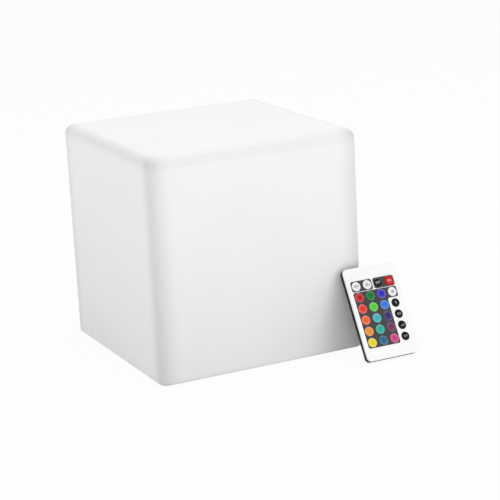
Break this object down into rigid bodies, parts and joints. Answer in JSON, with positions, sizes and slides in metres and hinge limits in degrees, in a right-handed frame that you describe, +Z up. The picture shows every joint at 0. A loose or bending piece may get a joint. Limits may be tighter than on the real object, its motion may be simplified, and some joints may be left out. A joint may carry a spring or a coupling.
{
  "type": "led cube light",
  "caption": "Translucent white cube mood light with a screwed-in lamp module in its base, and its key-pad remote control leaning on it",
  "frame": {"origin": "middle of the flat face that the cube rests on", "axes": "+Z up; -Y out of the front face that the remote leans on; +X to the right seen from the front"},
  "size_m": [0.228, 0.2488, 0.2],
  "materials": {
    "translucent_white": "satin, translucent",
    "brass": "satin",
    "grey_rubber": "matte",
    "cover_white": "fine matte",
    "steel": "satin",
    "clear_lens": "clear, polished",
    "lamp_board": "semi-gloss",
    "lamp_chip": "gloss",
    "black_gloss": "gloss",
    "cell_wrap": "gloss film",
    "black_plastic": "matte",
    "circuit_green": "semi-gloss",
    "button_grey": "matte",
    "black_rubber": "matte",
    "lead_red": "satin",
    "lead_black": "satin",
    "remote_black": "fine matte",
    "remote_white": "semi-gloss",
    "panel_grey": "satin print",
    "emitter_clear": "clear dark",
    "key_black": "satin",
    "key_white": "satin",
    "key_on": "satin",
    "key_red": "satin",
    "key_green": "satin",
    "key_blue": "satin",
    "key_orange_red": "satin",
    "key_light_green": "satin",
    "key_sky_blue": "satin",
    "key_orange": "satin",
    "key_cyan": "satin",
    "key_violet": "satin",
    "key_amber": "satin",
    "key_teal": "satin",
    "key_plum": "satin",
    "key_yellow": "satin",
    "key_petrol": "satin",
    "key_pink": "satin"
  },
  "bodies": {
    "cube": {"cube_shell": "translucent_white", "shell_inserts": "brass", "base_gasket": "grey_rubber", "base_cover": "cover_white", "cover_screws": "steel", "lens_dome": "clear_lens", "dome_seal": "grey_rubber", "dome_screws": "steel", "led_board": "lamp_board", "led_chips": "lamp_chip", "ir_receiver": "black_gloss", "battery_cells": "cell_wrap", "battery_clamp": "black_plastic", "clamp_screws": "steel", "control_board": "circuit_green", "board_chips": "black_plastic", "board_screws": "steel", "tact_switch": "black_plastic", "charge_socket": "black_plastic", "socket_nut": "steel", "flap_pin": "steel", "battery_leads": "lead_red", "led_leads": "lead_black", "socket_leads": "lead_black"},
    "remote": {"remote_back_shell": "remote_black", "remote_front_shell": "remote_white", "key_panel": "panel_grey", "keypad_mat": "grey_rubber", "remote_board": "circuit_green", "contact_domes": "steel", "ir_emitter": "emitter_clear"},
    "tray": {"battery_tray": "remote_black", "coin_cell": "steel"},
    "power_button": {"power_button": "button_grey", "switch_plunger": "black_plastic"},
    "port_flap": {"port_flap": "black_rubber"},
    "key_brighter": {"key_brighter": "key_white"},
    "key_dimmer": {"key_dimmer": "key_white"},
    "key_off": {"key_off": "key_black"},
    "key_on": {"key_on": "key_on"},
    "key_red": {"key_red": "key_red"},
    "key_green": {"key_green": "key_green"},
    "key_blue": {"key_blue": "key_blue"},
    "key_white": {"key_white": "key_white"},
    "key_orange_red": {"key_orange_red": "key_orange_red"},
    "key_light_green": {"key_light_green": "key_light_green"},
    "key_sky_blue": {"key_sky_blue": "key_sky_blue"},
    "key_flash": {"key_flash": "key_black"},
    "key_orange": {"key_orange": "key_orange"},
    "key_cyan": {"key_cyan": "key_cyan"},
    "key_violet": {"key_violet": "key_violet"},
    "key_strobe": {"key_strobe": "key_black"},
    "key_amber": {"key_amber": "key_amber"},
    "key_teal": {"key_teal": "key_teal"},
    "key_plum": {"key_plum": "key_plum"},
    "key_fade": {"key_fade": "key_black"},
    "key_yellow": {"key_yellow": "key_yellow"},
    "key_petrol": {"key_petrol": "key_petrol"},
    "key_pink": {"key_pink": "key_pink"},
    "key_smooth": {"key_smooth": "key_black"}
  },
  "joints": [
    {"name": "remote_lift", "type": "slide", "parent": "cube", "child": "remote", "axis": [0, -0.866, 0.5], "range_m": [0, 0.1]},
    {"name": "tray_pull", "type": "slide", "parent": "remote", "child": "tray", "axis": [0, -0.5, -0.866], "range_m": [0, 0.022]},
    {"name": "power_press", "type": "slide", "parent": "cube", "child": "power_button", "axis": [0, 0, 1], "range_m": [0, 0.0008], "stiffness_N_per_m": 400},
    {"name": "flap_swing", "type": "hinge", "parent": "cube", "child": "port_flap", "pos_m": [0.024, -0.033, 0.0024], "axis": [-1, 0, 0], "range_deg": [0, 110]},
    {"name": "press_brighter", "type": "slide", "parent": "remote", "child": "key_brighter", "axis": [0, 0.866, -0.5], "range_m": [0, 0.0005], "stiffness_N_per_m": 200},
    {"name": "press_dimmer", "type": "slide", "parent": "remote", "child": "key_dimmer", "axis": [0, 0.866, -0.5], "range_m": [0, 0.0005], "stiffness_N_per_m": 200},
    {"name": "press_off", "type": "slide", "parent": "remote", "child": "key_off", "axis": [0, 0.866, -0.5], "range_m": [0, 0.0005], "stiffness_N_per_m": 200},
    {"name": "press_on", "type": "slide", "parent": "remote", "child": "key_on", "axis": [0, 0.866, -0.5], "range_m": [0, 0.0005], "stiffness_N_per_m": 200},
    {"name": "press_red", "type": "slide", "parent": "remote", "child": "key_red", "axis": [0, 0.866, -0.5], "range_m": [0, 0.0005], "stiffness_N_per_m": 200},
    {"name": "press_green", "type": "slide", "parent": "remote", "child": "key_green", "axis": [0, 0.866, -0.5], "range_m": [0, 0.0005], "stiffness_N_per_m": 200},
    {"name": "press_blue", "type": "slide", "parent": "remote", "child": "key_blue", "axis": [0, 0.866, -0.5], "range_m": [0, 0.0005], "stiffness_N_per_m": 200},
    {"name": "press_white", "type": "slide", "parent": "remote", "child": "key_white", "axis": [0, 0.866, -0.5], "range_m": [0, 0.0005], "stiffness_N_per_m": 200},
    {"name": "press_orange_red", "type": "slide", "parent": "remote", "child": "key_orange_red", "axis": [0, 0.866, -0.5], "range_m": [0, 0.0005], "stiffness_N_per_m": 200},
    {"name": "press_light_green", "type": "slide", "parent": "remote", "child": "key_light_green", "axis": [0, 0.866, -0.5], "range_m": [0, 0.0005], "stiffness_N_per_m": 200},
    {"name": "press_sky_blue", "type": "slide", "parent": "remote", "child": "key_sky_blue", "axis": [0, 0.866, -0.5], "range_m": [0, 0.0005], "stiffness_N_per_m": 200},
    {"name": "press_flash", "type": "slide", "parent": "remote", "child": "key_flash", "axis": [0, 0.866, -0.5], "range_m": [0, 0.0005], "stiffness_N_per_m": 200},
    {"name": "press_orange", "type": "slide", "parent": "remote", "child": "key_orange", "axis": [0, 0.866, -0.5], "range_m": [0, 0.0005], "stiffness_N_per_m": 200},
    {"name": "press_cyan", "type": "slide", "parent": "remote", "child": "key_cyan", "axis": [0, 0.866, -0.5], "range_m": [0, 0.0005], "stiffness_N_per_m": 200},
    {"name": "press_violet", "type": "slide", "parent": "remote", "child": "key_violet", "axis": [0, 0.866, -0.5], "range_m": [0, 0.0005], "stiffness_N_per_m": 200},
    {"name": "press_strobe", "type": "slide", "parent": "remote", "child": "key_strobe", "axis": [0, 0.866, -0.5], "range_m": [0, 0.0005], "stiffness_N_per_m": 200},
    {"name": "press_amber", "type": "slide", "parent": "remote", "child": "key_amber", "axis": [0, 0.866, -0.5], "range_m": [0, 0.0005], "stiffness_N_per_m": 200},
    {"name": "press_teal", "type": "slide", "parent": "remote", "child": "key_teal", "axis": [0, 0.866, -0.5], "range_m": [0, 0.0005], "stiffness_N_per_m": 200},
    {"name": "press_plum", "type": "slide", "parent": "remote", "child": "key_plum", "axis": [0, 0.866, -0.5], "range_m": [0, 0.0005], "stiffness_N_per_m": 200},
    {"name": "press_fade", "type": "slide", "parent": "remote", "child": "key_fade", "axis": [0, 0.866, -0.5], "range_m": [0, 0.0005], "stiffness_N_per_m": 200},
    {"name": "press_yellow", "type": "slide", "parent": "remote", "child": "key_yellow", "axis": [0, 0.866, -0.5], "range_m": [0, 0.0005], "stiffness_N_per_m": 200},
    {"name": "press_petrol", "type": "slide", "parent": "remote", "child": "key_petrol", "axis": [0, 0.866, -0.5], "range_m": [0, 0.0005], "stiffness_N_per_m": 200},
    {"name": "press_pink", "type": "slide", "parent": "remote", "child": "key_pink", "axis": [0, 0.866, -0.5], "range_m": [0, 0.0005], "stiffness_N_per_m": 200},
    {"name": "press_smooth", "type": "slide", "parent": "remote", "child": "key_smooth", "axis": [0, 0.866, -0.5], "range_m": [0, 0.0005], "stiffness_N_per_m": 200}
  ]
}
